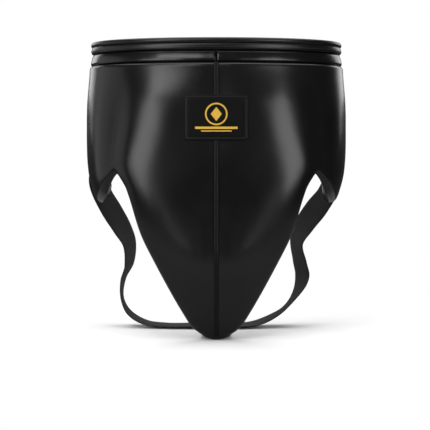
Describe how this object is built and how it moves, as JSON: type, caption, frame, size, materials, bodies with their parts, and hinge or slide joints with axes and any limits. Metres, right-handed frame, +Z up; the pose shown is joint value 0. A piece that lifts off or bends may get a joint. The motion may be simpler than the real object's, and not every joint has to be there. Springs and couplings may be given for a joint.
{
  "type": "groin protector",
  "caption": "Padded boxing groin protector with waist band, hip wings, hard groin cup, rear hook closure and elastic leg straps.",
  "frame": {"origin": "centre of the waist opening, level with the top of the rim", "axes": "+Z up, -Y out of the front, +X to the wearer's left hand side as seen from the front"},
  "size_m": [0.3091, 0.2305, 0.3402],
  "materials": {
    "leather": "smooth semi-gloss black",
    "binding": "satin black",
    "elastic": "woven matte black",
    "foam": "open foam",
    "lining": "woven matte",
    "cup": "moulded satin",
    "label": "woven satin",
    "emblem": "gold thread",
    "hook_and_loop": "hook and loop tape"
  },
  "bodies": {
    "front": {"front_cover_left": "leather", "front_cover_right": "leather", "waistband_left": "leather", "waistband_right": "leather", "groin_edge_left": "binding", "groin_edge_right": "binding", "wing_edge_left": "binding", "wing_edge_right": "binding", "rim_bead": "binding", "rim_tape": "binding", "centre_piping_upper": "binding", "centre_piping_lower": "binding", "label_backing": "leather", "label": "label", "label_emblem": "emblem", "abdomen_foam_left": "foam", "abdomen_foam_right": "foam", "hip_foam_left": "foam", "hip_foam_right": "foam", "groin_foam_left": "foam", "groin_foam_right": "foam", "lining_left": "lining", "lining_right": "lining", "groin_cup": "cup", "cup_liner": "lining", "cup_cushion": "leather", "back_elastic_left": "elastic", "back_elastic_right": "elastic", "loop_patch": "hook_and_loop", "closure_seam_strip": "leather", "leg_strap_left": "elastic", "leg_strap_right": "elastic", "strap_anchor_left": "leather", "strap_anchor_right": "leather", "tip_tongue": "leather"},
    "closure": {"closure_tab": "leather", "hook_patch": "hook_and_loop"}
  },
  "joints": [
    {"name": "closure_peel", "type": "hinge", "parent": "front", "child": "closure", "pos_m": [-0.0263, 0.1047, 0], "axis": [0, 0, 1], "range_deg": [0, 120]}
  ]
}
